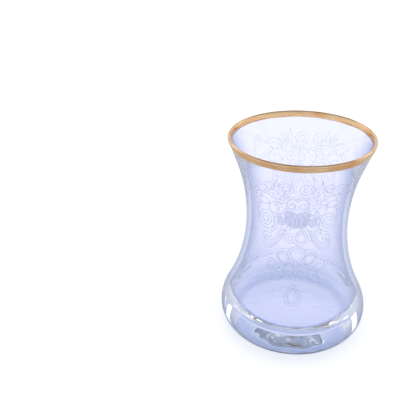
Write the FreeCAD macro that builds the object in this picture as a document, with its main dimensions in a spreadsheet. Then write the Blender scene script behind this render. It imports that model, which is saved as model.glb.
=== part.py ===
"""Waisted tea glass with a thick base and a gilded lip, as a parametric FreeCAD document.

The glass is one turned piece: a flared mouth, a narrow waist, a wide bulb and a thick solid
base that stands on a flat ring. The gilding is a thin fired band that wraps the lip.
Units are millimetres, +Z is up and the origin is the centre of the foot.
"""

import FreeCAD
import Part
import Sketcher

import math
import os

from FreeCAD import Vector

# Driving sizes: alias -> (value in millimetres, what it is).
SIZES = {
    "height": (92.5, "foot to the top of the glass lip"),
    "rim_radius": (30.0, "outside of the lip"),
    "lip_thickness": (1.2, "wall at the lip, which is fully rounded"),
    "flare_length": (10.4, "straight stretch of wall below the lip"),
    "waist_radius": (21.7, "outside of the waist"),
    "waist_level": (55.2, "height of the narrowest place"),
    "wall": (2.0, "wall from the waist down"),
    "bulb_radius": (32.4, "outside of the bulb at its widest"),
    "bulb_curve": (18.0, "radius of the bulb's side, above its widest place"),
    "heel_curve": (11.3, "radius of the lower edge, up to the widest place"),
    "floor_level": (10.0, "top of the solid base"),
    "floor_curve": (8.0, "radius between the inside's floor and its wall"),
    "foot_ring_width": (3.6, "flat ring that the glass stands on"),
    "punt_depth": (1.1, "hollow of the underside at the middle"),
    "gilt_thickness": (0.1, "thickness of the fired gilding"),
    "gilt_outer_drop": (2.4, "gilding down the outside, below the lip's round"),
    "gilt_inner_drop": (1.4, "gilding down the inside, below the lip's round"),
}

SHEET_NAME = "Sizes"
OUTPUT_FOLDER = "parts"

# Sketcher's own numbers: the origin, the upright axis and the places on an edge.
ORIGIN, UPRIGHT = -1, -2
WHOLE, START, END, CENTRE = 0, 1, 2, 3
DOWN, LEVEL, UP = -math.pi / 2, 0.0, math.pi / 2


def size(alias):
    """Return a driving size as a plain number."""
    return SIZES[alias][0]


def add_sheet(doc):
    """Write the driving sizes into a spreadsheet, each in a cell with an alias."""
    sheet = doc.addObject("Spreadsheet::Sheet", SHEET_NAME)
    for row, (alias, (value, meaning)) in enumerate(SIZES.items(), start=1):
        sheet.set(f"A{row}", alias)
        sheet.set(f"B{row}", str(value))
        sheet.set(f"C{row}", meaning)
        sheet.setAlias(f"B{row}", alias)
    doc.recompute()


def turn(centre, radius, angle):
    """Return the point of a circle at an angle in radians."""
    return centre + Vector(math.cos(angle), math.sin(angle), 0) * radius


def arc(centre, radius, start, end):
    """Return an arc that runs anticlockwise from one angle to another."""
    return Part.ArcOfCircle(Part.Circle(centre, Vector(0, 0, 1), radius), start, end)


class Outline:
    """Where the curves of the section lie, worked out from the driving sizes.

    Outside and inside are chains of tangent curves. Each has a hollow curve below the waist,
    another above it and a straight flare that runs into the round lip.
    """

    def __init__(self):
        lip = size("lip_thickness") / 2
        self.lip_centre = Vector(size("rim_radius") - lip, size("height") - lip, 0)
        self.lip_curve = lip
        self.waist = Vector(size("waist_radius"), size("waist_level"), 0)
        self.inner_waist = self.waist - Vector(size("wall"), 0, 0)
        self.above, self.flare = self.curve_to_lip(self.waist, lip)
        self.inner_above, self.inner_flare = self.curve_to_lip(self.inner_waist, -lip)

        self.heel_centre = Vector(size("bulb_radius") - size("heel_curve"), size("heel_curve"), 0)
        self.bulb_centre = Vector(size("bulb_radius") - size("bulb_curve"), size("heel_curve"), 0)
        reach = self.waist - self.bulb_centre
        spare = size("bulb_radius") - size("waist_radius")
        self.below = (reach.Length**2 - size("bulb_curve") ** 2) / (2 * spare)
        self.below_centre = self.waist + Vector(self.below, 0, 0)
        self.bulb_end = self.slope(self.bulb_centre)

        floor_rise = size("floor_level") + size("floor_curve")
        self.inner_below = self.below + size("wall")
        drop = size("waist_level") - floor_rise
        span = math.sqrt((self.inner_below + size("floor_curve")) ** 2 - drop**2)
        self.bend_centre = Vector(self.below_centre.x - span, floor_rise, 0)
        self.bend_end = self.slope(self.bend_centre)

        self.ring_inside = self.heel_centre.x - size("foot_ring_width")
        punt = size("punt_depth")
        self.punt_curve = (self.ring_inside**2 + punt**2) / (2 * punt)
        self.punt_centre = Vector(0, punt - self.punt_curve, 0)
        self.punt_start = math.atan2(-self.punt_centre.y, self.ring_inside)

    def curve_to_lip(self, waist, lip_side):
        """Return the radius above the waist and the flare's slope from the vertical."""
        rise = self.lip_centre.y - waist.y
        widening = self.lip_centre.x + lip_side - waist.x
        slope = 2 * math.atan(widening / (rise + size("flare_length")))
        radius = (rise - size("flare_length") * math.cos(slope)) / math.sin(slope) - lip_side
        return radius, slope

    def slope(self, centre):
        """Return the angle from a round's centre to the centre of the hollow curve below the waist."""
        reach = self.below_centre - centre
        return math.atan2(reach.y, reach.x)


class Drawing:
    """A sketch on its body's own upright plane, whose edges are called by name."""

    def __init__(self, body, name):
        plane = next(item for item in body.Origin.OriginFeatures if item.Role == "XZ_Plane")
        self.sketch = body.newObject("Sketcher::SketchObject", name)
        self.sketch.AttachmentSupport = (plane, [""])
        self.sketch.MapMode = "FlatFace"
        self.edges = {}

    def draw(self, name, curve):
        """Add an edge."""
        self.edges[name] = self.sketch.addGeometry(curve, False)

    def line(self, name, start, end):
        """Add a straight edge."""
        self.draw(name, Part.LineSegment(start, end))

    def relate(self, kind, *places):
        """Add a constraint without a size between places, each an edge's name and a point."""
        numbers = []
        for place in places:
            name, point = place if isinstance(place, tuple) else (place, WHOLE)
            numbers.append(self.edges.get(name, name))
            if point != WHOLE:
                numbers.append(point)
        self.sketch.addConstraint(Sketcher.Constraint(kind, *numbers))

    def chain(self, *steps):
        """Join edges end to end, each step (edge, end, kind, next edge, its end)."""
        for first, first_end, kind, second, second_end in steps:
            self.relate(kind, (first, first_end), (second, second_end))

    def bind(self, expression, *parts):
        """Add a size to the sketch and bind it to the spreadsheet."""
        index = self.sketch.addConstraint(Sketcher.Constraint(*parts))
        words = expression.split()
        bound = " ".join(f"{SHEET_NAME}.{word}" if word in SIZES else word for word in words)
        self.sketch.setExpression(f"Constraints[{index}]", bound)

    def radius(self, name, expression):
        """Bind an arc's radius."""
        edge = self.edges[name]
        self.bind(expression, "Radius", edge, self.sketch.Geometry[edge].Radius)

    def length(self, name, expression):
        """Bind a straight edge's length."""
        edge = self.edges[name]
        self.bind(expression, "Distance", edge, self.sketch.Geometry[edge].length())

    def angle(self, name, expression):
        """Bind a straight edge's angle from level, from its start to its end."""
        edge = self.edges[name]
        way = self.sketch.Geometry[edge].EndPoint - self.sketch.Geometry[edge].StartPoint
        self.bind(expression, "Angle", edge, math.atan2(way.y, way.x))

    def reach(self, name, point, expression):
        """Bind a point's distance from the upright axis."""
        edge = self.edges[name]
        self.bind(expression, "DistanceX", ORIGIN, START, edge, point, self.sketch.getPoint(edge, point).x)

    def level(self, name, point, expression):
        """Bind a point's height above the foot."""
        edge = self.edges[name]
        self.bind(expression, "DistanceY", ORIGIN, START, edge, point, self.sketch.getPoint(edge, point).y)


def revolve(body, drawing):
    """Turn a drawing once round the upright axis."""
    turned = body.newObject("PartDesign::Revolution", f"{body.Name}_turned")
    turned.Profile = drawing.sketch
    turned.ReferenceAxis = (drawing.sketch, ["V_Axis"])
    turned.Angle = 360.0
    body.Tip = turned


def wall_lines(outline):
    """Return the ends, waist side first, of the outer and the inner flare."""
    outer_top = turn(outline.lip_centre, outline.lip_curve, -outline.flare)
    inner_top = turn(outline.lip_centre, -outline.lip_curve, -outline.inner_flare)
    outer_foot = turn(outer_top, -size("flare_length"), math.pi / 2 - outline.flare)
    inner_foot = turn(inner_top, -size("flare_length"), math.pi / 2 - outline.inner_flare)
    return (outer_foot, outer_top), (inner_foot, inner_top)


def draw_outside(drawing, outline):
    """Draw the underside, the heel, the bulb and the outer wall up to the lip."""
    ring_ends = (Vector(outline.ring_inside, 0, 0), Vector(outline.heel_centre.x, 0, 0))
    above_centre = outline.waist + Vector(outline.above, 0, 0)
    outer_flare, _ = wall_lines(outline)
    drawing.draw("punt", arc(outline.punt_centre, outline.punt_curve, outline.punt_start, UP))
    drawing.line("ring", *ring_ends)
    drawing.draw("heel", arc(outline.heel_centre, size("heel_curve"), DOWN, LEVEL))
    drawing.draw("bulb", arc(outline.bulb_centre, size("bulb_curve"), LEVEL, outline.bulb_end))
    drawing.draw("below", arc(outline.below_centre, outline.below, math.pi, math.pi + outline.bulb_end))
    drawing.draw("above", arc(above_centre, outline.above, math.pi - outline.flare, math.pi))
    drawing.line("flare", *outer_flare)


def draw_inside(drawing, outline):
    """Draw the round lip, the inner wall, the floor and the upright axis."""
    above_centre = outline.inner_waist + Vector(outline.inner_above, 0, 0)
    _, inner_flare = wall_lines(outline)
    floor_edge = Vector(outline.bend_centre.x, size("floor_level"), 0)
    floor_middle = Vector(0, size("floor_level"), 0)
    drawing.draw("lip", arc(outline.lip_centre, outline.lip_curve,
                            -outline.flare, math.pi - outline.inner_flare))
    drawing.line("inner_flare", *inner_flare)
    drawing.draw("inner_above", arc(above_centre, outline.inner_above,
                                    math.pi - outline.inner_flare, math.pi))
    drawing.draw("inner_below", arc(outline.below_centre, outline.inner_below,
                                    math.pi, math.pi + outline.bend_end))
    drawing.draw("bend", arc(outline.bend_centre, size("floor_curve"), DOWN, outline.bend_end))
    drawing.line("floor", floor_edge, floor_middle)
    drawing.line("middle", floor_middle, Vector(0, size("punt_depth"), 0))


def add_glass(doc, outline):
    """Make the glass: its whole section, turned."""
    body = doc.addObject("PartDesign::Body", "glass_body")
    drawing = Drawing(body, "glass_section")
    draw_outside(drawing, outline)
    draw_inside(drawing, outline)
    drawing.chain(
        ("punt", START, "Coincident", "ring", START),
        ("ring", END, "Tangent", "heel", START),
        ("heel", END, "Tangent", "bulb", START),
        ("bulb", END, "Tangent", "below", END),
        ("below", START, "Tangent", "above", END),
        ("above", START, "Tangent", "flare", START),
        ("flare", END, "Tangent", "lip", START),
        ("lip", END, "Tangent", "inner_flare", END),
        ("inner_flare", START, "Tangent", "inner_above", START),
        ("inner_above", END, "Tangent", "inner_below", START),
        ("inner_below", END, "Tangent", "bend", END),
        ("bend", START, "Tangent", "floor", START),
        ("floor", END, "Coincident", "middle", START),
        ("middle", END, "Coincident", "punt", END),
    )
    drawing.relate("Horizontal", "ring")
    drawing.relate("Horizontal", "floor")
    drawing.relate("Horizontal", ("heel", CENTRE), ("bulb", CENTRE))
    drawing.relate("Horizontal", ("below", CENTRE), ("above", CENTRE))
    drawing.relate("Horizontal", ("below", CENTRE), ("inner_above", CENTRE))
    drawing.relate("Coincident", ("below", CENTRE), ("inner_below", CENTRE))
    drawing.relate("PointOnObject", ("ring", START), ORIGIN)
    drawing.relate("PointOnObject", ("punt", CENTRE), UPRIGHT)
    drawing.relate("PointOnObject", ("middle", START), UPRIGHT)
    drawing.relate("PointOnObject", ("middle", END), UPRIGHT)

    drawing.reach("ring", START, "bulb_radius - heel_curve - foot_ring_width")
    drawing.level("middle", END, "punt_depth")
    drawing.radius("heel", "heel_curve")
    drawing.reach("heel", CENTRE, "bulb_radius - heel_curve")
    drawing.radius("bulb", "bulb_curve")
    drawing.reach("below", START, "waist_radius")
    drawing.level("below", CENTRE, "waist_level")
    drawing.length("flare", "flare_length")
    drawing.radius("lip", "lip_thickness / 2")
    drawing.reach("lip", CENTRE, "rim_radius - lip_thickness / 2")
    drawing.level("lip", CENTRE, "height - lip_thickness / 2")
    drawing.length("inner_flare", "flare_length")
    drawing.reach("inner_below", START, "waist_radius - wall")
    drawing.radius("bend", "floor_curve")
    drawing.level("floor", END, "floor_level")
    revolve(body, drawing)
    return body


def slope_formula(widening):
    """Return the expression for a flare's angle from level, given how far it widens."""
    rise = "( height - lip_thickness / 2 - waist_level + flare_length )"
    return f"90 deg - 2 * atan( ( {widening} ) / {rise} )"


def draw_band(drawing, outline):
    """Draw the gilding's section: three faces on the glass, three outer skins and two edges."""
    (_, outer_top), (_, inner_top) = wall_lines(outline)
    coat = size("gilt_thickness")
    along_outer = math.pi / 2 - outline.flare
    along_inner = math.pi / 2 - outline.inner_flare
    outer_skin_top = turn(outer_top, coat, -outline.flare)
    inner_skin_top = turn(inner_top, -coat, -outline.inner_flare)
    outer_foot = turn(outer_top, -size("gilt_outer_drop"), along_outer)
    inner_foot = turn(inner_top, -size("gilt_inner_drop"), along_inner)
    outer_skin_foot = turn(outer_skin_top, -size("gilt_outer_drop"), along_outer)
    inner_skin_foot = turn(inner_skin_top, -size("gilt_inner_drop"), along_inner)
    lip_ends = (-outline.flare, math.pi - outline.inner_flare)
    drawing.line("outer_face", outer_foot, outer_top)
    drawing.draw("lip_face", arc(outline.lip_centre, outline.lip_curve, *lip_ends))
    drawing.line("inner_face", inner_foot, inner_top)
    drawing.line("inner_edge", inner_foot, inner_skin_foot)
    drawing.line("inner_skin", inner_skin_foot, inner_skin_top)
    drawing.draw("lip_skin", arc(outline.lip_centre, outline.lip_curve + coat, *lip_ends))
    drawing.line("outer_skin", outer_skin_foot, outer_skin_top)
    drawing.line("outer_edge", outer_foot, outer_skin_foot)


def add_gilding(doc, outline):
    """Make the gilding, which lies face to face on the lip and on both walls below it."""
    body = doc.addObject("PartDesign::Body", "gilt_rim")
    drawing = Drawing(body, "gilding_section")
    draw_band(drawing, outline)
    drawing.chain(
        ("outer_face", END, "Tangent", "lip_face", START),
        ("lip_face", END, "Tangent", "inner_face", END),
        ("inner_face", START, "Coincident", "inner_edge", START),
        ("inner_edge", END, "Coincident", "inner_skin", START),
        ("inner_skin", END, "Tangent", "lip_skin", END),
        ("lip_skin", START, "Tangent", "outer_skin", END),
        ("outer_skin", START, "Coincident", "outer_edge", END),
        ("outer_edge", START, "Coincident", "outer_face", START),
    )
    drawing.relate("Coincident", ("lip_face", CENTRE), ("lip_skin", CENTRE))
    drawing.relate("Perpendicular", "outer_edge", "outer_face")
    drawing.relate("Perpendicular", "inner_edge", "inner_face")
    drawing.relate("Parallel", "outer_skin", "outer_face")
    drawing.relate("Parallel", "inner_skin", "inner_face")

    drawing.radius("lip_face", "lip_thickness / 2")
    drawing.radius("lip_skin", "lip_thickness / 2 + gilt_thickness")
    drawing.reach("lip_face", CENTRE, "rim_radius - lip_thickness / 2")
    drawing.level("lip_face", CENTRE, "height - lip_thickness / 2")
    drawing.length("outer_face", "gilt_outer_drop")
    drawing.length("inner_face", "gilt_inner_drop")
    drawing.angle("outer_face", slope_formula("rim_radius - waist_radius"))
    drawing.angle("inner_face", slope_formula("rim_radius - lip_thickness - waist_radius + wall"))
    revolve(body, drawing)
    return body


def check(doc, pieces):
    """Raise an error if any object failed, a sketch is loose or a piece has no sound shape."""
    for item in doc.Objects:
        if "Invalid" in item.State or "Error" in item.State:
            raise RuntimeError(f"{item.Name} failed: {item.State}")
        if item.TypeId == "Sketcher::SketchObject" and not item.FullyConstrained:
            raise RuntimeError(f"{item.Name} is not fully constrained")
    for piece in pieces:
        if piece.Shape.isNull() or not piece.Shape.isValid():
            raise RuntimeError(f"{piece.Label} has no valid shape")


def main():
    """Build the document, check it and write one STEP file for each piece."""
    doc = FreeCAD.newDocument("tea_glass")
    add_sheet(doc)
    outline = Outline()
    pieces = [add_glass(doc, outline), add_gilding(doc, outline)]
    doc.recompute()
    check(doc, pieces)

    os.makedirs(OUTPUT_FOLDER, exist_ok=True)
    for piece in pieces:
        piece.Placement = FreeCAD.Placement()
        piece.Shape.exportStep(os.path.join(OUTPUT_FOLDER, f"{piece.Label}.step"))
        print(f"{piece.Label}: {piece.Shape.Volume:.1f} cubic mm, {piece.Shape.optimalBoundingBox()}")


main()
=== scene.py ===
"""Waisted tea glass with a gilded lip and frosted scrollwork, dressed and lit for a still.

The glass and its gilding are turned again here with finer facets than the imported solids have,
because clear glass bends light at every facet. The scrollwork is laid on the outer wall.
Lengths are written in millimetres and turned to metres when a mesh is made.
"""

import logging
import math
from collections.abc import Callable, Iterable, Sequence
from dataclasses import dataclass, field
from enum import Enum

import bmesh
import bpy
from mathutils import Matrix, Vector
from mathutils.geometry import delaunay_2d_cdt


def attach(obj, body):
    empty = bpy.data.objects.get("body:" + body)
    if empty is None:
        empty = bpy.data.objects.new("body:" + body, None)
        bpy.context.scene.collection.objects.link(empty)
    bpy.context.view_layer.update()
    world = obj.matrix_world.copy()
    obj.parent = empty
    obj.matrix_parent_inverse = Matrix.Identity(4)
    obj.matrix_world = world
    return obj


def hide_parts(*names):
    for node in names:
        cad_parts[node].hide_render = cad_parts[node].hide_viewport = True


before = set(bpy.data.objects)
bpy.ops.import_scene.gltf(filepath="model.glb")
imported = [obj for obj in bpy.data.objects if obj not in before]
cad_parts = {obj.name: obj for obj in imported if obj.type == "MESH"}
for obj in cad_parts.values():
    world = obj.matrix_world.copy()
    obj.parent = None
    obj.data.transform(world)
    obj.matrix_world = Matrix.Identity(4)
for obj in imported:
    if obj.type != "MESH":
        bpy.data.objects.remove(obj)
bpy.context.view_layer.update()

LOG = logging.getLogger("tea_glass")
MM = 0.001
BACK_MIDDLE_DEG = 172.0
BOUNCES = 256
Point = tuple[float, float]
Path = list[Point]


# ---------------------------------------------------------------- colours and shader nodes


def linear(hex_colour: str, alpha: float = 1.0) -> tuple[float, float, float, float]:
    """Turn an sRGB hex colour to linear.

    Args:
        hex_colour: Six hex digits, with or without a leading hash.
        alpha: The fourth channel.

    Returns:
        Linear red, green, blue and alpha.
    """
    digits = hex_colour.lstrip("#")
    channels = [int(digits[i:i + 2], 16) / 255 for i in (0, 2, 4)]
    bent = [c / 12.92 if c <= 0.04045 else ((c + 0.055) / 1.055) ** 2.4 for c in channels]
    return (bent[0], bent[1], bent[2], alpha)


def add_node(
    tree: bpy.types.NodeTree,
    kind: str,
    settings: dict[str, object] | None = None,
    links: dict[str | int, bpy.types.NodeSocket] | None = None,
    **values: object,
) -> bpy.types.Node:
    """Add a node with its settings, its input values and its links.

    Args:
        tree: Where the node goes.
        kind: The node's type, without the ShaderNode prefix.
        settings: Properties of the node itself.
        links: Sockets that feed the node's inputs, by the input's name or place.
        values: Input values, with an underscore for each space in the input's name.

    Returns:
        The new node.
    """
    made = tree.nodes.new(f"ShaderNode{kind}")
    for name, value in (settings or {}).items():
        setattr(made, name, value)
    for name, value in values.items():
        made.inputs[name.replace("_", " ")].default_value = value
    for name, source in (links or {}).items():
        tree.links.new(source, made.inputs[name])
    return made


def new_tree(name: str) -> tuple[bpy.types.Material, bpy.types.NodeTree]:
    """Make a material with an empty node tree.

    Args:
        name: The material's name.

    Returns:
        The material and its node tree.
    """
    material = bpy.data.materials.new(name)
    material.use_nodes = True
    material.node_tree.nodes.clear()
    return material, material.node_tree


@dataclass(frozen=True)
class BaseTintAndShade:
    """Where the base is darkened: painted shade, with some tint where the glass is thick, grows outwards
    and downwards between these places, in mm.
    """

    out_from: float
    out_to: float
    down_from: float
    down_to: float


@dataclass(frozen=True)
class SodaLimeGlass:
    """Clear soda-lime glass, pressed and fire-polished.

    Its surface is smooth to the eye, with a slow waviness left by the mould. The wall is all but
    colourless. It is painted steel blue where the eye looks along it and round the base: painted
    shade standing in for the dim tent that the glass bends in there, with a little of the thick
    glass's own tint in the base. The heel is rippled where the mould chilled it, which breaks up
    what shows in it. Lamps shine through it on to what it stands on.
    """

    name: str = "soda_lime_glass_fire_polished"
    tint: str = "#FAFAFF"
    # The edge tint is painted shade for where the eye looks along the wall.
    edge_tint_and_painted_shade: str = "#7F92BC"
    edge_start: float = 0.4
    edge_end: float = 0.82
    shade: str = "#FCFDFF"
    ior: float = 1.52
    wave_mm: float = 14.0
    wave_depth_mm: float = 0.006
    # The heel tint is painted shade round the base, with a little of the thick glass's own tint.
    heel_tint_and_painted_shade: str = "#B0BFD8"
    base_tint_and_shade: tuple[BaseTintAndShade, BaseTintAndShade] = (
        BaseTintAndShade(22.0, 28.0, 9.8, 5.0),
        BaseTintAndShade(30.5, 31.8, 18.0, 8.0),
    )
    heel_top_mm: float = 9.0
    ripple_mm: float = 4.5
    ripple_depth_mm: float = 0.3
    ripple_stretch: tuple[float, float, float] = (0.7, 0.7, 2.0)

    def build(self) -> bpy.types.Material:
        """Make the glass, with its waviness as bump and a way through it for lamps.

        Returns:
            The material.
        """
        material, tree = new_tree(self.name)
        place = add_node(tree, "TexCoord").outputs["Object"]
        level = add_node(tree, "SeparateXYZ", None, {"Vector": place}).outputs["Z"]
        glass_tint_and_shade = self._build_tint_and_shade(tree, place, level)
        bump = self._build_bump(tree, place, level)
        surface = add_node(tree, "BsdfPrincipled", None, {"Base Color": glass_tint_and_shade, "Normal": bump},
                           Roughness=0.0, IOR=self.ior, Transmission_Weight=1.0)
        through = add_node(tree, "BsdfTransparent", Color=linear(self.shade))
        rays = add_node(tree, "LightPath")
        both = add_node(tree, "MixShader", None,
                        {0: rays.outputs["Is Shadow Ray"], 1: surface.outputs["BSDF"],
                         2: through.outputs["BSDF"]})
        add_node(tree, "OutputMaterial", None, {"Surface": both.outputs["Shader"]})
        return material

    def _build_bump(self, tree: bpy.types.NodeTree, place: bpy.types.NodeSocket,
                    level: bpy.types.NodeSocket) -> bpy.types.NodeSocket:
        """Build the mould's slow waves, and the ripples of the heel below them.

        Args:
            tree: The glass's node tree.
            place: The place on the glass.
            level: Its height.

        Returns:
            The bumped normal.
        """
        waves = add_node(tree, "TexNoise", {"noise_dimensions": "3D"}, {"Vector": place},
                         Scale=1 / (self.wave_mm * MM), Detail=1.0, Roughness=0.4)
        waved = add_node(tree, "Bump", None, {"Height": waves.outputs["Fac"]},
                         Strength=1.0, Distance=self.wave_depth_mm * MM)
        heel = add_node(tree, "MapRange", {"interpolation_type": "SMOOTHSTEP"}, {"Value": level},
                        From_Min=self.heel_top_mm * MM, From_Max=0.3 * self.heel_top_mm * MM)
        flat = add_node(tree, "Mapping", None, {"Vector": place}, Scale=self.ripple_stretch)
        ripples = add_node(tree, "TexNoise", None, {"Vector": flat.outputs["Vector"]},
                           Scale=1 / (self.ripple_mm * MM), Detail=1.0)
        lower = add_node(tree, "Math", {"operation": "MULTIPLY"},
                         {0: heel.outputs["Result"], 1: ripples.outputs["Fac"]})
        rippled = add_node(tree, "Bump", None,
                           {"Height": lower.outputs["Value"], "Normal": waved.outputs["Normal"]},
                           Strength=1.0, Distance=self.ripple_depth_mm * MM)
        return rippled.outputs["Normal"]

    def _build_tint_and_shade(self, tree: bpy.types.NodeTree, place: bpy.types.NodeSocket,
                    level: bpy.types.NodeSocket) -> bpy.types.NodeSocket:
        """Build the glass's colour: its faint tint, with painted shade laid where the eye looks along the
        wall and round the base.

        Args:
            tree: The glass's node tree.
            place: The place on the glass.
            level: Its height.

        Returns:
            The colour.
        """
        # Painted edge shade: the facing ramp darkens the glass towards the edge tint where the eye looks
        # along the wall, in place of the dimmer surroundings it bends in there.
        slant = add_node(tree, "LayerWeight", Blend=0.5)
        tint = add_node(tree, "ValToRGB", None, {"Fac": slant.outputs["Facing"]})
        clear, edge = tint.color_ramp.elements
        clear.position, edge.position = self.edge_start, self.edge_end
        clear.color, edge.color = linear(self.tint), linear(self.edge_tint_and_painted_shade)
        across = add_node(tree, "Mapping", None, {"Vector": place}, Scale=(1.0, 1.0, 0.0))
        radius = add_node(tree, "VectorMath", {"operation": "LENGTH"}, {"Vector": across.outputs["Vector"]})
        shares = []
        for part in self.base_tint_and_shade:
            outward = add_node(tree, "MapRange", {"interpolation_type": "SMOOTHSTEP"},
                               {"Value": radius.outputs["Value"]},
                               From_Min=part.out_from * MM, From_Max=part.out_to * MM)
            downward = add_node(tree, "MapRange", {"interpolation_type": "SMOOTHSTEP"}, {"Value": level},
                                From_Min=part.down_from * MM, From_Max=part.down_to * MM)
            share = add_node(tree, "Math", {"operation": "MULTIPLY"},
                             {0: outward.outputs["Result"], 1: downward.outputs["Result"]})
            shares.append(share.outputs["Value"])
        thick = add_node(tree, "Math", {"operation": "MAXIMUM"}, {0: shares[0], 1: shares[1]})
        # Painted shade round the base: the heel tint darkens the glass over these parts, a little of it the
        # thick glass's own tint, most of it in place of the dim tent bent in there.
        glass_tint_and_shade = add_node(tree, "Mix", {"data_type": "RGBA", "blend_type": "MULTIPLY"},
                        {"Factor": thick.outputs["Value"], 6: tint.outputs["Color"]})
        glass_tint_and_shade.inputs[7].default_value = linear(self.heel_tint_and_painted_shade)
        return glass_tint_and_shade.outputs[2]


@dataclass(frozen=True)
class FiredGold:
    """Bright gold, brushed on by hand as a resinate and fired on the glass.

    The film takes the gloss of the glass under it. Its colour is a pale, warm champagne, and
    the brush leaves faint streaks that run round the lip.
    """

    name: str = "fired_bright_gold"
    pale: str = "#F3D8B2"
    deep: str = "#DBA670"
    roughness: float = 0.2
    streak_mm: float = 0.35
    patch_mm: float = 9.0

    def build(self) -> bpy.types.Material:
        """Make the gold, with brush streaks in its colour and its bump, and a patchy gloss.

        Returns:
            The material.
        """
        material, tree = new_tree(self.name)
        place = add_node(tree, "TexCoord")
        upright = add_node(tree, "Mapping", None, {"Vector": place.outputs["Object"]},
                           Scale=(0.06, 0.06, 1.0))
        streaks = add_node(tree, "TexNoise", None, {"Vector": upright.outputs["Vector"]},
                           Scale=1 / (self.streak_mm * MM), Detail=3.0)
        patches = add_node(tree, "TexNoise", None, {"Vector": place.outputs["Object"]},
                           Scale=1 / (self.patch_mm * MM), Detail=2.0)
        both = add_node(tree, "Math", {"operation": "MULTIPLY"},
                        {0: streaks.outputs["Fac"], 1: patches.outputs["Fac"]})
        colour = add_node(tree, "ValToRGB", None, {"Fac": both.outputs["Value"]})
        thick, thin = colour.color_ramp.elements
        thick.position, thin.position = 0.1, 0.45
        thick.color, thin.color = linear(self.deep), linear(self.pale)
        gloss = add_node(tree, "MapRange", None, {"Value": patches.outputs["Fac"]},
                         To_Min=self.roughness * 0.7, To_Max=self.roughness * 1.3)
        bump = add_node(tree, "Bump", None, {"Height": streaks.outputs["Fac"]},
                        Strength=0.25, Distance=0.02 * MM)
        surface = add_node(tree, "BsdfPrincipled", None,
                           {"Base Color": colour.outputs["Color"], "Roughness": gloss.outputs["Result"],
                            "Normal": bump.outputs["Normal"]},
                           Metallic=1.0)
        add_node(tree, "OutputMaterial", None, {"Surface": surface.outputs["BSDF"]})
        return material


@dataclass(frozen=True)
class FrostedLine:
    """Glass roughened by a fine matt etch, which scatters some light and passes the rest.

    It reads as pale frosted lines. Seen from inside the glass they are given less cover, as painted
    light that stands in for light coming through the etch from outside, where their shaded side
    would show. The real grain is a few hundredths of a millimetre, and is drawn as coarse as it
    needs to show.
    """

    name: str = "matt_etched_glass"
    colour: str = "#CBD5FC"
    cover: float = 0.44
    # Less cover from within is painted light over the lines' shaded inner side.
    cover_from_within: float = 0.5
    grain_mm: float = 0.3

    def build(self) -> bpy.types.Material:
        """Make the etch, whose cover varies with the grain of the etched surface and is lowered, as painted
        light, where the etch is seen from inside the glass.

        Returns:
            The material.
        """
        material, tree = new_tree(self.name)
        place = add_node(tree, "TexCoord")
        grain = add_node(tree, "TexNoise", None, {"Vector": place.outputs["Object"]},
                         Scale=1 / (self.grain_mm * MM), Detail=2.0)
        cover = add_node(tree, "MapRange", None, {"Value": grain.outputs["Fac"]},
                         From_Min=0.3, From_Max=0.7, To_Min=self.cover * 0.85, To_Max=self.cover * 1.15)
        # Painted light: lines seen from inside the glass get less cover, in place of light passing through
        # the etch from outside.
        side = add_node(tree, "NewGeometry")
        painted_light_from_within = add_node(tree, "MapRange", None, {"Value": side.outputs["Backfacing"]},
                           To_Min=1.0, To_Max=self.cover_from_within)
        seen = add_node(tree, "Math", {"operation": "MULTIPLY"},
                        {0: cover.outputs["Result"], 1: painted_light_from_within.outputs["Result"]})
        bump = add_node(tree, "Bump", None, {"Height": grain.outputs["Fac"]},
                        Strength=0.2, Distance=0.01 * MM)
        surface = add_node(tree, "BsdfPrincipled", None,
                           {"Alpha": seen.outputs["Value"], "Normal": bump.outputs["Normal"]},
                           Base_Color=linear(self.colour), Roughness=0.75)
        add_node(tree, "OutputMaterial", None, {"Surface": surface.outputs["BSDF"]})
        return material


# ---------------------------------------------------------------- the turned outline


def arc(centre: Point, radius: float, start: float, end: float, steps: int) -> Path:
    """Return the points of an arc from one angle to another, in radians."""
    angles = (start + (end - start) * i / steps for i in range(steps + 1))
    return [(centre[0] + radius * math.cos(a), centre[1] + radius * math.sin(a)) for a in angles]


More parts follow.
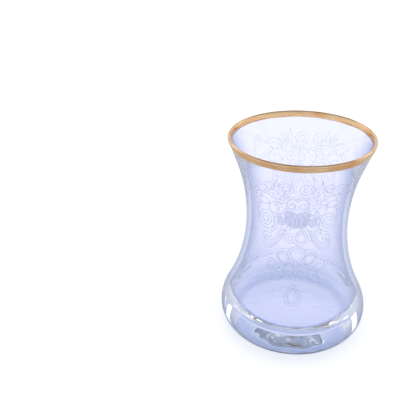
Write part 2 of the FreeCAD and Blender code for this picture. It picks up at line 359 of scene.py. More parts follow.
@dataclass
class GlassOutline:
    """The glass's section as tangent curves, in millimetres from the axis and the foot."""

    height: float = 92.5
    rim_radius: float = 30.0
    lip_thickness: float = 1.2
    flare_length: float = 10.4
    waist_radius: float = 21.7
    waist_level: float = 55.2
    wall: float = 2.0
    bulb_radius: float = 32.4
    bulb_curve: float = 18.0
    heel_curve: float = 11.3
    floor_level: float = 10.0
    floor_curve: float = 8.0
    foot_ring_width: float = 3.6
    punt_depth: float = 1.1

    def __post_init__(self) -> None:
        """Work out the centres and slopes that the sizes lead to."""
        self.lip = self.lip_thickness / 2
        self.lip_centre = (self.rim_radius - self.lip, self.height - self.lip)
        self.above, self.flare = self._curve_to_lip(self.waist_radius, self.lip)
        self.inner_above, self.inner_flare = self._curve_to_lip(self.waist_radius - self.wall, -self.lip)
        self.bulb_centre = (self.bulb_radius - self.bulb_curve, self.heel_curve)
        across, up = self.waist_radius - self.bulb_centre[0], self.waist_level - self.bulb_centre[1]
        spare = self.bulb_radius - self.waist_radius
        self.below = (across**2 + up**2 - self.bulb_curve**2) / (2 * spare)
        self.below_centre = (self.waist_radius + self.below, self.waist_level)
        self.bulb_end = math.atan2(up, self.below_centre[0] - self.bulb_centre[0])
        floor_rise = self.floor_level + self.floor_curve
        drop = self.waist_level - floor_rise
        span = math.sqrt((self.below + self.wall + self.floor_curve) ** 2 - drop**2)
        self.bend_centre = (self.below_centre[0] - span, floor_rise)
        self.bend_end = math.atan2(drop, span)

    def _curve_to_lip(self, waist: float, lip_side: float) -> tuple[float, float]:
        """Work out the curve that leads from the waist to the straight flare under the lip.

        Args:
            waist: The wall's radius at the waist, outside or inside.
            lip_side: The lip's own radius, negative for the inside.

        Returns:
            The curve's radius, and the flare's slope from the vertical in radians.
        """
        rise = self.lip_centre[1] - self.waist_level
        widening = self.lip_centre[0] + lip_side - waist
        slope = 2 * math.atan(widening / (rise + self.flare_length))
        radius = (rise - self.flare_length * math.cos(slope)) / math.sin(slope) - lip_side
        return radius, slope

    def outer_radius(self, level: float) -> float:
        """Work out the outside's radius at a height above the widest place.

        Args:
            level: The height, in millimetres.

        Returns:
            The radius, in millimetres.
        """
        if level < self.bulb_centre[1] + self.bulb_curve * math.sin(self.bulb_end):
            return self.bulb_centre[0] + math.sqrt(self.bulb_curve**2 - (level - self.bulb_centre[1]) ** 2)
        rise = level - self.waist_level
        if rise < 0:
            return self.below_centre[0] - math.sqrt(self.below**2 - rise**2)
        bend = self.above * math.sin(self.flare)
        if rise < bend:
            return self.waist_radius + self.above - math.sqrt(self.above**2 - rise**2)
        start = self.waist_radius + self.above * (1 - math.cos(self.flare))
        return start + (rise - bend) * math.tan(self.flare)

    def outside(self) -> Path:
        """Draw the outside from the middle of the underside up to the lip.

        Returns:
            Its points, in millimetres.
        """
        ring_outside = self.bulb_radius - self.heel_curve
        ring_inside = ring_outside - self.foot_ring_width
        punt_curve = (ring_inside**2 + self.punt_depth**2) / (2 * self.punt_depth)
        half = math.asin(ring_inside / punt_curve)
        up = math.pi / 2
        return (
            arc((0, self.punt_depth - punt_curve), punt_curve, up, up - half, 12)
            + [(ring_outside - 0.5 * self.foot_ring_width, 0.0)]
            + arc((ring_outside, self.heel_curve), self.heel_curve, -up, 0, 36)
            + arc(self.bulb_centre, self.bulb_curve, 0, self.bulb_end, 14)[1:]
            + arc(self.below_centre, self.below, math.pi + self.bulb_end, math.pi, 34)[1:]
            + arc((self.waist_radius + self.above, self.waist_level), self.above,
                  math.pi, math.pi - self.flare, 26)[1:]
        )

    def lip_round(self, extra: float, steps: int = 18) -> Path:
        """Return the lip's round, from the outer wall over to the inner, or one laid on it."""
        return arc(self.lip_centre, self.lip + extra, -self.flare, math.pi - self.inner_flare, steps)

    def inside(self) -> Path:
        """Draw the inside from the lip down to the middle of the floor.

        Returns:
            Its points, in millimetres.
        """
        inner_waist = self.waist_radius - self.wall
        return (
            arc((inner_waist + self.inner_above, self.waist_level), self.inner_above,
                math.pi - self.inner_flare, math.pi, 26)
            + arc(self.below_centre, self.below + self.wall, math.pi, math.pi + self.bend_end, 34)[1:]
            + arc(self.bend_centre, self.floor_curve, self.bend_end, -math.pi / 2, 28)[1:]
            + [(self.bend_centre[0] * share, self.floor_level) for share in (0.6, 0.3, 0.0)]
        )


def turn_section(name: str, section: Path, segments: int) -> bpy.types.Object:
    """Turn a section once round the upright axis into a closed, smooth mesh.

    Args:
        name: The piece's name.
        section: Points from the axis, in millimetres, anticlockwise on the right of the axis.
            A section whose two ends lie on the axis is closed there by a single point each.
        segments: Facets round the axis.

    Returns:
        The new object.
    """
    mesh = bmesh.new()
    rings: list[list[bmesh.types.BMVert]] = []
    for radius, level in section:
        count = 1 if radius < 1e-6 else segments
        turns = (2 * math.pi * i / segments for i in range(count))
        rings.append([
            mesh.verts.new((radius * MM * math.cos(a), radius * MM * math.sin(a), level * MM))
            for a in turns
        ])
    pairs = list(zip(rings, rings[1:]))
    if len(rings[0]) > 1:
        pairs.append((rings[-1], rings[0]))
    for low, high in pairs:
        for i in range(segments):
            j = (i + 1) % segments
            corners = [low[i % len(low)], low[j % len(low)], high[j % len(high)], high[i % len(high)]]
            mesh.faces.new(list(dict.fromkeys(corners)))
    return finish_mesh(name, mesh)


def finish_mesh(name: str, mesh: bmesh.types.BMesh, crease: float = 40.0) -> bpy.types.Object:
    """Make an object of a built mesh, smooth except across its real creases.

    Args:
        name: The piece's name.
        mesh: The built mesh, which is freed.
        crease: The least angle that stays sharp, in degrees.

    Returns:
        The new object.
    """
    bmesh.ops.recalc_face_normals(mesh, faces=mesh.faces)
    data = bpy.data.meshes.new(name)
    mesh.to_mesh(data)
    mesh.free()
    data.shade_smooth()
    data.set_sharp_from_angle(angle=math.radians(crease))
    piece = bpy.data.objects.new(name, data)
    bpy.context.scene.collection.objects.link(piece)
    return piece


@dataclass
class TurnedGlass:
    """The glass itself: wall, bulb, thick base and foot in one clear piece."""

    outline: GlassOutline
    finish: SodaLimeGlass = field(default_factory=SodaLimeGlass)
    segments: int = 288

    def build(self) -> bpy.types.Object:
        """Turn the whole section and dress it in clear glass.

        Returns:
            The glass.
        """
        section = self.outline.outside() + self.outline.lip_round(0.0) + self.outline.inside()
        piece = turn_section("glass_wall_and_base", section, self.segments)
        piece.data.materials.append(self.finish.build())
        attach(piece, "root")
        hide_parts("glass_body")
        return piece


@dataclass
class LipGilding:
    """The gold film over the lip, brushed a little unevenly along both of its edges."""

    outline: GlassOutline
    finish: FiredGold = field(default_factory=FiredGold)
    thickness: float = 0.1
    clearance: float = 0.004
    outer_drop: float = 2.2
    inner_drop: float = 1.4
    unevenness: float = 0.09
    segments: int = 360

    def _edge(self, turn: float, phase: float) -> float:
        """Return how far the brushed edge strays at a place round the lip."""
        slow = math.sin(7 * turn + phase) + 0.6 * math.sin(17 * turn + 2 * phase)
        return self.unevenness * (slow + 0.4 * math.sin(41 * turn)) / 2

    def _section(self, turn: float) -> Path:
        """Draw the film's section at one place round the lip.

        Args:
            turn: The place, in radians.

        Returns:
            The section's points, in millimetres, over the film and back under it.
        """
        shape = self.outline
        outer_drop = self.outer_drop + self._edge(turn, 0.4)
        inner_drop = self.inner_drop + self._edge(turn, 2.1)
        sides: list[Path] = []
        for extra in (self.thickness, self.clearance):
            over = shape.lip_round(extra, 14)
            outer_foot = (over[0][0] - outer_drop * math.sin(shape.flare),
                          over[0][1] - outer_drop * math.cos(shape.flare))
            inner_foot = (over[-1][0] - inner_drop * math.sin(shape.inner_flare),
                          over[-1][1] - inner_drop * math.cos(shape.inner_flare))
            sides.append([outer_foot] + over + [inner_foot])
        return sides[0] + sides[1][::-1]

    def build(self) -> bpy.types.Object:
        """Lay the film over the lip and dress it in gold.

        Returns:
            The gilding.
        """
        mesh = bmesh.new()
        rings = []
        for i in range(self.segments):
            turn = 2 * math.pi * i / self.segments
            rings.append([
                mesh.verts.new((r * MM * math.cos(turn), r * MM * math.sin(turn), z * MM))
                for r, z in self._section(turn)
            ])
        for here, there in zip(rings, rings[1:] + rings[:1]):
            for i in range(len(here)):
                j = (i + 1) % len(here)
                mesh.faces.new((here[i], here[j], there[j], there[i]))
        piece = finish_mesh("lip_gilding", mesh)
        piece.data.materials.append(self.finish.build())
        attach(piece, "root")
        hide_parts("gilt_rim")
        return piece


# ---------------------------------------------------------------- the scrollwork


class Weight(Enum):
    """Widths of a drawn line, in millimetres."""

    FINE = 0.36
    PLAIN = 0.46


def smooth_line(knots: Sequence[Point], steps: int = 8) -> Path:
    """Draw a smooth line through a few points.

    Args:
        knots: The points.
        steps: Steps from each point to the next.

    Returns:
        The line's points.
    """
    padded = [knots[0], *knots, knots[-1]]
    line: Path = []
    for a, b, c, d in zip(padded, padded[1:], padded[2:], padded[3:]):
        for i in range(steps):
            t = i / steps
            line.append(tuple(
                0.5 * (2 * q + (r - p) * t + (2 * p - 5 * q + 4 * r - s) * t**2
                       + (3 * q - p - 3 * r + s) * t**3)
                for p, q, r, s in zip(a, b, c, d)
            ))
    return line + [knots[-1]]


def spiral(centre: Point, outer: float, inner: float, start: float, turns: float,
           tall: float = 1.0, lean: float = 0.0) -> Path:
    """Return a spiral that winds inwards.

    Args:
        centre: Its middle.
        outer: Radius where it starts.
        inner: Radius where it ends.
        start: Angle where it starts, in degrees.
        turns: Turns to make, negative for clockwise.
        tall: Height over width.
        lean: Tilt of the tall axis, in degrees.

    Returns:
        Its points from the outside in.
    """
    steps = max(12, int(abs(turns) * 28))
    tilt = math.radians(lean)
    line: Path = []
    for i in range(steps + 1):
        share = i / steps
        radius = outer + (inner - outer) * share
        angle = math.radians(start) + 2 * math.pi * turns * share
        x, y = radius * math.cos(angle), radius * math.sin(angle) * tall
        line.append((centre[0] + x * math.cos(tilt) - y * math.sin(tilt),
                     centre[1] + x * math.sin(tilt) + y * math.cos(tilt)))
    return line


def petal(root: Point, tip: Point, width: float, belly: float = 0.5, bend: float = 0.0,
          blunt: float = 0.0) -> Path:
    """Return a closed leaf, petal or drop from its root to its tip.

    Args:
        root: Where it starts.
        tip: Where it ends.
        width: Its greatest width.
        belly: Where along it the greatest width lies, from 0 to 1.
        bend: Sideways bow of its middle line, as a share of its length.
        blunt: Roundness of the tip, from 0, pointed, to 1, round.

    Returns:
        Its outline, closed.
    """
    axis = Vector(tip) - Vector(root)
    side = Vector((-axis.y, axis.x)).normalized()
    steps = 22
    edges: tuple[Path, Path] = ([], [])
    power = math.log(0.5) / math.log(belly)
    for i in range(steps + 1):
        t = i / steps
        swell = math.sin(math.pi * t**power)
        rounding = math.sqrt(max(0.0, 1 - (2 * t**power - 1) ** 2))
        half = 0.5 * width * (swell * (1 - blunt) + rounding * blunt)
        middle = Vector(root) + axis * t + side * (bend * axis.length * math.sin(math.pi * t))
        edges[0].append(tuple(middle + side * half))
        edges[1].append(tuple(middle - side * half))
    return edges[0] + edges[1][-2::-1]


def beside(line: Path, gap: float) -> Path:
    """Draw a line that runs beside another, to its left.

    Args:
        line: The other line.
        gap: The distance between them, negative for the right.

    Returns:
        The new line's points.
    """
    moved: Path = []
    for i, here in enumerate(line):
        back, ahead = line[max(i - 1, 0)], line[min(i + 1, len(line) - 1)]
        way = Vector((ahead[0] - back[0], ahead[1] - back[1]))
        if way.length < 1e-9:
            continue
        way.normalize()
        moved.append((here[0] - way.y * gap, here[1] + way.x * gap))
    return moved


def mirrored(line: Path, middle: float = 0.0) -> Path:
    """Return a line reflected in an upright through a middle."""
    return [(2 * middle - x, y) for x, y in line]


@dataclass
class Motif:
    """One side's drawing, laid flat: across from its middle and up from the foot, in mm.

    The pairs aren't quite centred, as in hand-drawn work, so each pair has its own middle.
    """

    strokes: list[tuple[Path, Weight]] = field(default_factory=list)
    fields: list[Path] = field(default_factory=list)

    def both(self, lines: Iterable[Path], weight: Weight = Weight.PLAIN, middle: float = 0.0) -> None:
        """Draw lines on the right and their reflections on the left.

        Args:
            lines: The right-hand lines.
            weight: Their width.
            middle: Where the pair's middle stands.
        """
        for line in lines:
            self.strokes.append((line, weight))
            self.strokes.append((mirrored(line, middle), weight))

    def once(self, lines: Iterable[Path], weight: Weight = Weight.PLAIN) -> None:
        """Draw lines that stand on the middle."""
        self.strokes.extend((line, weight) for line in lines)

    def fill(self, *outlines: Path) -> None:
        """Frost whole fields and their reflections.

        Args:
            outlines: The fields' outlines.
        """
        for outline in outlines:
            self.fields.append(outline)
            self.fields.append(mirrored(outline)[::-1])


def draw_top_scrolls(motif: Motif) -> None:
    """Draw the pair of round scrolls and the double scroll below them.

    Args:
        motif: The drawing it belongs to.
    """
    motif.both([spiral((3.0, 80.5), 3.4, 0.5, 0, 2.05, 0.98)], middle=-0.85)
    curl = [(-0.2, 74.9), (0.7, 75.8), (2.0, 76.1), (3.4, 75.3), (4.0, 73.5), (3.4, 71.7), (2.1, 71.0),
            (1.0, 71.7), (0.8, 73.1), (1.6, 73.9), (2.6, 73.4), (2.2, 72.5)]
    crown = [(-0.2, 75.9), (1.2, 77.0), (3.2, 76.9), (4.8, 75.6)]
    motif.both([smooth_line(curl), smooth_line(crown)], middle=-0.2)


def draw_flower(motif: Motif) -> None:
    """Draw the flower and the leaves round it on the motif's shoulder.

    Args:
        motif: The drawing it belongs to.
    """
    upright_leaf = [(5.7, 77.0), (5.5, 78.6), (5.9, 80.5), (7.0, 81.4), (8.1, 82.5), (8.6, 83.7),
                    (8.8, 85.0), (9.3, 83.2), (9.6, 81.5), (9.3, 80.0), (8.6, 78.7), (7.4, 77.5),
                    (5.7, 77.0)]
    round_petal = [(10.0, 80.2), (10.0, 81.7), (10.9, 82.7), (12.0, 83.1), (13.1, 82.8), (13.6, 81.7),
                   (13.4, 80.5), (12.5, 79.5), (11.2, 79.3), (10.0, 80.2)]
    long_leaf = [(12.9, 79.5), (14.0, 80.5), (15.3, 81.3), (16.6, 81.7), (18.0, 81.5), (19.3, 81.0),
                 (20.8, 80.4), (19.8, 79.9), (18.0, 78.6), (17.0, 77.6), (15.8, 77.1), (14.7, 77.3),
                 (13.6, 78.2), (12.9, 79.5)]
    narrow_leaf = [(16.2, 77.1), (17.6, 77.9), (18.8, 77.5), (20.0, 76.6), (21.8, 75.9), (24.6, 74.8),
                   (22.8, 74.1), (21.0, 74.5), (19.5, 75.2), (18.4, 75.8), (17.4, 76.3), (16.2, 77.1)]
    small_leaf = [(3.2, 76.3), (3.9, 77.1), (5.1, 77.1), (6.3, 76.0), (7.0, 74.5), (7.9, 72.9),
                  (6.3, 73.1), (5.0, 73.6), (4.1, 74.4), (3.4, 75.5), (3.2, 76.3)]
    heart = [(9.2, 78.6), (10.2, 79.3), (11.7, 78.8), (12.8, 77.8), (14.0, 76.9), (15.1, 76.3),
             (15.5, 75.0), (15.9, 73.5)]
    inner_petal = [(9.9, 78.2), (10.1, 76.8), (10.1, 75.5), (9.2, 74.8), (8.0, 75.0), (7.1, 75.8),
                   (6.9, 76.9)]
    middle_petal = [(10.3, 74.9), (11.0, 75.6), (12.2, 76.4), (13.5, 76.6), (14.4, 76.2)]
    lower_petal = [(11.3, 72.6), (12.5, 73.5), (13.8, 74.3), (15.0, 74.2), (15.8, 73.5)]
    lower_edge = [(11.3, 72.6), (12.0, 71.7), (13.0, 70.9), (14.5, 71.0), (15.8, 71.5), (17.0, 72.1),
                  (18.7, 72.7)]
    outer_petal = [(16.2, 76.9), (17.7, 76.0), (18.4, 74.3), (18.7, 72.7)]
    bead = [(7.9, 73.8), (8.8, 73.5), (9.3, 72.5), (8.9, 71.4), (8.0, 71.8)]
    drop = [(9.5, 73.6), (10.4, 72.7), (11.4, 71.7), (11.8, 70.3), (11.4, 68.8), (10.3, 67.6),
            (9.1, 67.6), (8.2, 68.8), (8.1, 70.5), (8.8, 71.9)]
    motif.both(smooth_line(knots) for knots in (
        upright_leaf, round_petal, long_leaf, narrow_leaf, small_leaf, heart, inner_petal, middle_petal,
        lower_petal, lower_edge, outer_petal, bead, drop,
    ))
    motif.both([
        petal((10.6, 80.2), (12.4, 82.3), 1.3, 0.5),
        petal((11.0, 77.6), (12.4, 77.2), 1.2, 0.5),
        smooth_line([(4.3, 76.2), (5.2, 75.6), (6.2, 74.2)]),
        smooth_line([(7.0, 78.4), (7.8, 79.8), (8.4, 81.6)]),
        smooth_line([(13.9, 78.4), (15.4, 79.5), (17.4, 80.2)]),
    ], Weight.FINE)


def draw_side_scroll(motif: Motif) -> None:
    """Draw the slim upright scroll at the motif's outer edge.

    Args:
        motif: The drawing it belongs to.
    """
    stem = [(27.8, 67.2), (27.9, 70.0), (27.3, 73.5), (26.6, 77.0), (26.9, 80.2), (26.3, 82.3),
            (25.0, 82.8), (24.1, 81.4), (24.5, 79.8), (25.5, 80.4)]
    second = [(28.8, 67.2), (29.0, 70.2), (28.4, 73.8), (27.7, 77.0), (28.0, 80.6), (27.0, 83.4),
              (24.8, 84.0), (23.0, 82.0)]
    motif.both([smooth_line(stem), smooth_line(second)])


def draw_oval_scrolls(motif: Motif) -> None:
    """Draw the tall oval scrolls and the pair of stems that carries each.

    Args:
        motif: The drawing it belongs to.
    """
    motif.both([
        spiral((12.9, 64.0), 4.6, 0.5, 8, -2.95, 1.15),
        smooth_line([(15.9, 71.5), (17.0, 70.5), (17.8, 69.0), (18.0, 67.2), (17.5, 64.6)]),
        smooth_line([(14.9, 71.0), (16.0, 70.0), (16.8, 68.5), (17.0, 67.0), (16.7, 65.0), (16.0, 62.9)]),
    ])


def draw_lotus(motif: Motif) -> None:
    """Draw the frosted lotus in the middle, with the arcs of its side wings.

    Args:
        motif: The drawing it belongs to.
    """
    body = [(0.0, 68.5), (1.0, 68.9), (2.2, 69.7), (3.6, 69.9), (4.6, 69.1), (5.0, 67.9), (4.6, 66.7),
            (5.4, 65.7), (5.0, 64.3), (4.0, 63.0), (3.0, 62.1), (1.6, 61.6), (0.0, 61.9)]
    wing = [(5.6, 66.2), (6.9, 66.7), (8.0, 65.6), (7.5, 64.6), (8.3, 63.6), (7.2, 62.5), (5.6, 62.4),
            (5.0, 63.4), (5.9, 64.7)]
    motif.fill(smooth_line(body, 4), smooth_line([*wing, wing[0]], 4)[:-1])
    motif.both([smooth_line(body, 4), smooth_line([*wing, wing[0]], 4)], Weight.FINE)
    motif.both([
        petal((0.8, 62.4), (2.4, 68.0), 2.0, 0.55, -0.05),
        petal((2.6, 62.9), (4.2, 67.4), 1.3, 0.55, -0.05),
        smooth_line([(9.4, 64.8), (8.8, 66.6), (7.4, 67.9), (5.6, 68.2), (5.3, 69.8), (3.9, 70.9),
                     (2.2, 70.6)]),
        smooth_line([(8.6, 65.6), (7.7, 66.9), (6.2, 67.4)]),
        smooth_line([(9.4, 64.6), (9.0, 63.2), (8.0, 61.8)]),
        smooth_line([(5.4, 70.6), (6.4, 71.6), (7.4, 70.8), (7.2, 69.2)]),
    ])
    motif.once([petal((0.0, 62.2), (0.0, 67.6), 1.5, 0.5)])


def draw_tail(motif: Motif) -> None:
    """Draw the feathered crescent that hangs below the lotus.

    Args:
        motif: The drawing it belongs to.
    """
    outer = [(5.2, 60.8), (5.9, 57.8), (7.4, 54.4), (9.4, 51.8), (12.0, 50.3), (14.1, 51.2),
             (14.9, 53.6), (14.4, 56.3), (12.9, 57.6), (11.4, 57.1), (10.9, 56.0), (11.7, 55.2),
             (12.6, 55.7)]
    inner = [(7.4, 60.4), (8.2, 57.6), (9.4, 55.3), (10.9, 54.0), (12.2, 54.3), (13.0, 55.4),
             (12.5, 56.4)]
    first = [(5.9, 60.8), (6.6, 57.8), (8.1, 54.6), (9.9, 52.4), (12.0, 51.3), (13.5, 52.2),
             (14.1, 54.0), (13.7, 55.9)]
    second = [(6.7, 60.6), (7.4, 57.7), (8.7, 55.0), (10.3, 53.2), (12.0, 52.6), (13.2, 53.6),
              (13.5, 55.2)]
    motif.both([smooth_line(outer, 6), smooth_line(inner, 6)], middle=0.2)
    motif.both([smooth_line(first, 6), smooth_line(second, 6)], middle=0.2)
    motif.both([
        smooth_line([(7.8, 61.4), (8.8, 59.6), (10.3, 58.0), (9.9, 60.0), (8.6, 61.8)]),
        smooth_line([(2.2, 61.4), (3.4, 60.4), (4.8, 59.9), (4.4, 61.2), (3.4, 62.0)]),
    ])


def draw_bud(motif: Motif) -> None:
    """Draw the round bud with a petal at each side.

    Args:
        motif: The drawing it belongs to.
    """
    motif.once([
        petal((1.8, 53.6), (1.6, 60.5), 6.4, 0.44, 0.0, 0.5),
        petal((1.8, 54.8), (1.7, 59.3), 4.2, 0.44, 0.0, 0.5),
        smooth_line([(-1.4, 58.9), (-3.2, 58.9), (-4.2, 57.2), (-3.7, 55.3), (-2.2, 54.4), (-1.3, 55.2)]),
        smooth_line([(-1.7, 57.9), (-2.9, 57.6), (-3.0, 56.2), (-2.0, 55.6)]),
        smooth_line([(-4.4, 59.6), (-5.2, 57.4), (-4.8, 55.0)]),
        smooth_line([(5.0, 59.4), (5.9, 58.0), (6.2, 56.2), (5.6, 54.6)]),
    ])


def draw_palmette(motif: Motif) -> None:
    """Draw the palmette of a drop, petals, rings and leaves below the waist.

    Args:
        motif: The drawing it belongs to.
    """
    middle = 0.65
    motif.once([petal((middle, 44.7), (middle, 53.2), 7.4, 0.62, 0.0, 0.75),
                petal((middle, 46.2), (middle, 52.1), 5.0, 0.62, 0.0, 0.75)])
    motif.both([
        petal((4.7, 44.3), (7.1, 50.1), 4.6, 0.6, 0.0, 0.9),
        petal((5.2, 45.0), (6.9, 49.2), 3.3, 0.6, 0.0, 0.9),
        spiral((10.5, 43.6), 2.5, 2.5, 205, -0.94),
        spiral((10.5, 43.6), 1.4, 1.4, 200, -0.9),
        spiral((3.5, 43.5), 2.0, 2.0, 60, 1.0, 0.92),
        smooth_line([(6.0, 42.6), (7.7, 42.4), (9.4, 40.8), (10.6, 38.6), (11.3, 36.7), (8.8, 36.9),
                     (6.7, 38.2), (5.4, 40.2), (6.0, 42.6)]),
        smooth_line([(2.2, 41.4), (2.0, 39.8), (2.8, 38.3), (3.6, 39.8), (3.4, 41.4)]),
    ], middle=middle)
    motif.once([petal((middle, 42.6), (middle, 37.6), 1.7, 0.5, 0.0, 0.5)])
    motif.both([
        smooth_line([(3.9, 51.4), (5.4, 51.9), (7.0, 51.2)]),
        smooth_line([(8.2, 50.6), (8.8, 49.0), (8.9, 46.6)]),
        smooth_line([(7.6, 41.0), (9.0, 39.6), (10.2, 37.6)]),
    ], Weight.FINE, middle)


def draw_hanging_drop(motif: Motif) -> None:
    """Draw the double drop that ends the motif.

    Args:
        motif: The drawing it belongs to.
    """
    motif.once([petal((0.0, 36.4), (0.0, 27.2), 6.6, 0.66, 0.0, 0.6),
                petal((0.0, 34.8), (0.0, 28.2), 4.4, 0.66, 0.0, 0.6)])


DRAWING_STEPS: tuple[Callable[[Motif], None], ...] = (
    draw_top_scrolls,
    draw_flower,
    draw_side_scroll,
    draw_oval_scrolls,
    draw_lotus,
    draw_tail,
    draw_bud,
    draw_palmette,
    draw_hanging_drop,
)


@dataclass
class Scrollwork:
    """A motif laid on the outer wall, a hair's breadth proud of the glass."""

    outline: GlassOutline
    name: str
    middle_deg: float
    material: bpy.types.Material
    lift_mm: float = 0.02
    layer_mm: float = 0.0004
    cell_mm: float = 0.8

    def _on_wall(self, across: float, level: float, lift: float) -> Vector:
        """Lay one place of the flat drawing on the wall.

        Args:
            across: Its distance from the motif's middle, along the wall.
            level: Its height.
            lift: How far it stands proud of the glass.

        Returns:
            The place, in metres.
        """
        radius = self.outline.outer_radius(level)
        angle = math.radians(self.middle_deg) + across / radius - math.pi / 2
        reach = (radius + lift) * MM
        return Vector((reach * math.cos(angle), reach * math.sin(angle), level * MM))

    def _lay_stroke(self, mesh: bmesh.types.BMesh, line: Path, width: float, lift: float) -> None:
        """Lay one line as a flat ribbon.

        Args:
            mesh: Where the ribbon goes.
            line: Its middle line.
            width: Its width.
            lift: How far it stands proud of the glass.
        """
        edges = (beside(line, width / 2), beside(line, -width / 2))
        rows = [[mesh.verts.new(self._on_wall(x, y, lift)) for x, y in edge] for edge in edges]
        for a, b, c, d in zip(rows[0], rows[1], rows[1][1:], rows[0][1:]):
            mesh.faces.new((a, b, c, d))

    def _lay_field(self, mesh: bmesh.types.BMesh, outline: Path, lift: float) -> None:
        """Lay one frosted field, cut small enough to follow the wall.

        Args:
            mesh: Where the field goes.
            outline: Its outline.
            lift: How far it stands proud of the glass.
        """
        points = [Vector(p) for p in outline]
        low = [min(p[k] for p in points) for k in (0, 1)]
        high = [max(p[k] for p in points) for k in (0, 1)]
        ring = list(range(len(points)))
        columns = int((high[0] - low[0]) / self.cell_mm)
        rows = int((high[1] - low[1]) / self.cell_mm)
        for i in range(1, columns):
            for j in range(1, rows):
                points.append(Vector((low[0] + i * self.cell_mm, low[1] + j * self.cell_mm)))
        places, _, faces, *_ = delaunay_2d_cdt(points, [], [ring], 1, 1e-5)
        verts = [mesh.verts.new(self._on_wall(p.x, p.y, lift)) for p in places]
        for face in faces:
            mesh.faces.new([verts[i] for i in face])

    def build(self, motif: Motif) -> bpy.types.Object:
        """Lay the whole motif and dress it in the matt etch.

        Args:
            motif: The flat drawing.

        Returns:
            The scrollwork.
        """
        mesh = bmesh.new()
        for outline in motif.fields:
            self._lay_field(mesh, outline, self.lift_mm / 2)
        for i, (line, weight) in enumerate(motif.strokes):
            self._lay_stroke(mesh, line, weight.value, self.lift_mm + i * self.layer_mm)
        data = bpy.data.meshes.new(self.name)
        mesh.to_mesh(data)
        mesh.free()
        data.shade_smooth()
        data.materials.append(self.material)
        piece = bpy.data.objects.new(self.name, data)
        bpy.context.scene.collection.objects.link(piece)
        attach(piece, "root")
        return piece


# ---------------------------------------------------------------- floor, light and camera


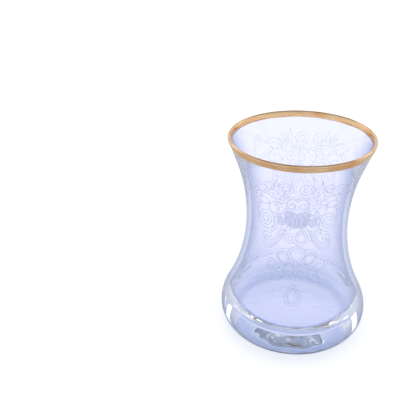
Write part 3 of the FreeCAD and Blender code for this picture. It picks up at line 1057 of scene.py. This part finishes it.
@dataclass
class Studio:
    """A white floor in a white tent with a dimmer top, two soft boxes and the camera."""

    floor_radius: float = 2.5
    floor_gap_mm: float = 0.1
    floor_colour: str = "#F8F8F8"
    floor_glow: float = 0.4
    glow_in_glass: float = 0.42
    sweep_in_glass: str = "#C2CCFF"
    tent_top: str = "#A1AFC8"
    fill_strength: float = 0.7
    lamp_place: tuple[float, float, float] = (0.4, 0.35, 0.45)
    lamp_size: tuple[float, float] = (0.1, 0.3)
    lamp_power: float = 0.22
    lens_mm: float = 58.5
    camera_turns_deg: tuple[float, float, float] = (9.0, 27.84, 0.9)
    camera_place: tuple[float, float, float] = (-0.0029, -0.2482, 0.1930)

    def build_floor(self) -> bpy.types.Object:
        """Lay the floor: white to the eye, pale lavender through the glass, and shadowed by it.

        Returns:
            The floor, which is staged and isn't part of the glass.
        """
        mesh = bmesh.new()
        bmesh.ops.create_circle(mesh, cap_ends=True, segments=96, radius=self.floor_radius)
        bmesh.ops.translate(mesh, verts=mesh.verts, vec=(0, 0, -self.floor_gap_mm * MM))
        data = bpy.data.meshes.new("floor")
        mesh.to_mesh(data)
        mesh.free()
        floor = bpy.data.objects.new("floor", data)
        bpy.context.scene.collection.objects.link(floor)
        material, tree = new_tree("white_paper_sweep")
        paper = add_node(tree, "BsdfDiffuse", Color=linear(self.floor_colour))
        rays = add_node(tree, "LightPath")
        shown = add_node(tree, "Mix", {"data_type": "RGBA"},
                         {"Factor": rays.outputs["Is Transmission Ray"]})
        shown.inputs[6].default_value = (1, 1, 1, 1)
        shown.inputs[7].default_value = linear(self.sweep_in_glass)
        glow = add_node(tree, "Emission", None, {"Color": shown.outputs[2]})
        to_eye = add_node(tree, "Math", {"operation": "MULTIPLY"}, {0: rays.outputs["Is Camera Ray"]})
        to_eye.inputs[1].default_value = self.floor_glow
        to_both = add_node(tree, "Math", {"operation": "MULTIPLY_ADD"},
                           {0: rays.outputs["Is Transmission Ray"], 2: to_eye.outputs["Value"]})
        to_both.inputs[1].default_value = self.glow_in_glass
        tree.links.new(to_both.outputs["Value"], glow.inputs["Strength"])
        both = add_node(tree, "AddShader", None, {0: paper.outputs["BSDF"], 1: glow.outputs["Emission"]})
        add_node(tree, "OutputMaterial", None, {"Surface": both.outputs["Shader"]})
        data.materials.append(material)
        return floor

    def build_tent(self) -> None:
        """Set the world: white to the eye, and to glass and gold a tent with a dimmer top."""
        world = bpy.data.worlds.new("tent")
        bpy.context.scene.world = world
        world.use_nodes = True
        tree = world.node_tree
        tree.nodes.clear()
        place = add_node(tree, "TexCoord")
        parts = add_node(tree, "SeparateXYZ", None, {"Vector": place.outputs["Generated"]})
        ramp = add_node(tree, "ValToRGB", None, {"Fac": parts.outputs["Z"]})
        ramp.color_ramp.elements[0].position = 0.35
        ramp.color_ramp.elements[0].color = (1, 1, 1, 1)
        ramp.color_ramp.elements[1].position = 0.8
        ramp.color_ramp.elements[1].color = linear(self.tent_top)
        tent = add_node(tree, "Background", None, {"Color": ramp.outputs["Color"]}, Strength=1.0)
        fill = add_node(tree, "Background", Color=(1, 1, 1, 1), Strength=self.fill_strength)
        white = add_node(tree, "Background", Color=(1, 1, 1, 1), Strength=1.0)
        rays = add_node(tree, "LightPath")
        clear = add_node(tree, "Math", {"operation": "MAXIMUM"},
                         {0: rays.outputs["Is Transmission Ray"], 1: rays.outputs["Is Glossy Ray"]})
        seen = add_node(tree, "MixShader", None,
                        {0: clear.outputs["Value"], 1: fill.outputs["Background"],
                         2: tent.outputs["Background"]})
        final = add_node(tree, "MixShader", None,
                         {0: rays.outputs["Is Camera Ray"], 1: seen.outputs["Shader"],
                          2: white.outputs["Background"]})
        add_node(tree, "OutputWorld", None, {"Surface": final.outputs["Shader"]})

    def build_soft_box(self, name: str, side: int) -> bpy.types.Object:
        """Hang a soft box that faces the glass.

        Args:
            name: The lamp's name.
            side: -1 for the left and 1 for the right.

        Returns:
            The lamp, which the camera doesn't see.
        """
        across, back, up = self.lamp_place
        place = Vector((side * across, back, up))
        lamp = bpy.data.lights.new(name, "AREA")
        lamp.shape = "RECTANGLE"
        lamp.size, lamp.size_y = self.lamp_size
        lamp.energy = self.lamp_power
        box = bpy.data.objects.new(name, lamp)
        box.location = place
        aim = Vector((0, 0, 0.04)) - place
        box.rotation_euler = aim.to_track_quat("-Z", "Y").to_euler()
        box.visible_camera = False
        bpy.context.scene.collection.objects.link(box)
        return box

    def build_camera(self) -> bpy.types.Object:
        """Set up the camera, which looks down on the glass from the front.

        Returns:
            The camera, which the scene uses.
        """
        data = bpy.data.cameras.new("camera")
        data.lens = self.lens_mm
        data.sensor_width = 36.0
        data.clip_start = 0.01
        camera = bpy.data.objects.new("camera", data)
        pan, tilt, roll = (math.radians(a) for a in self.camera_turns_deg)
        turn = Matrix.Rotation(pan, 4, "Z") @ Matrix.Rotation(math.pi / 2 - tilt, 4, "X")
        turn = turn @ Matrix.Rotation(-roll, 4, "Z")
        camera.matrix_world = Matrix.Translation(self.camera_place) @ turn
        bpy.context.scene.collection.objects.link(camera)
        bpy.context.scene.camera = camera
        return camera

    def build(self) -> None:
        """Set up the floor, the tent, the lamps and the camera."""
        self.build_floor()
        self.build_tent()
        for name, side in (("soft_box_left", -1), ("soft_box_right", 1)):
            self.build_soft_box(name, side)
        self.build_camera()


def main() -> None:
    """Build the glass, its gilding and its scrollwork, and the studio round them."""
    logging.basicConfig(level=logging.INFO, format="%(message)s")
    outline = GlassOutline()
    pieces = [TurnedGlass(outline).build(), LipGilding(outline).build()]
    motif = Motif()
    for draw in DRAWING_STEPS:
        draw(motif)
    etch = FrostedLine().build()
    for side, middle_deg in (("front", 0.0), ("back", BACK_MIDDLE_DEG)):
        pieces.append(Scrollwork(outline, f"scrollwork_{side}", middle_deg, etch).build(motif))
    for piece in pieces:
        LOG.info("%s: %d faces", piece.name, len(piece.data.polygons))

    Studio().build()
    scene = bpy.context.scene
    scene.view_settings.view_transform = "Standard"
    # The wall leads light round and down inside itself, and too few bounces leave that light black.
    for kind in ("max_bounces", "glossy_bounces", "transmission_bounces", "transparent_max_bounces"):
        setattr(scene.cycles, kind, BOUNCES)
    bpy.context.view_layer.update()


if __name__ == "__main__":
    main()
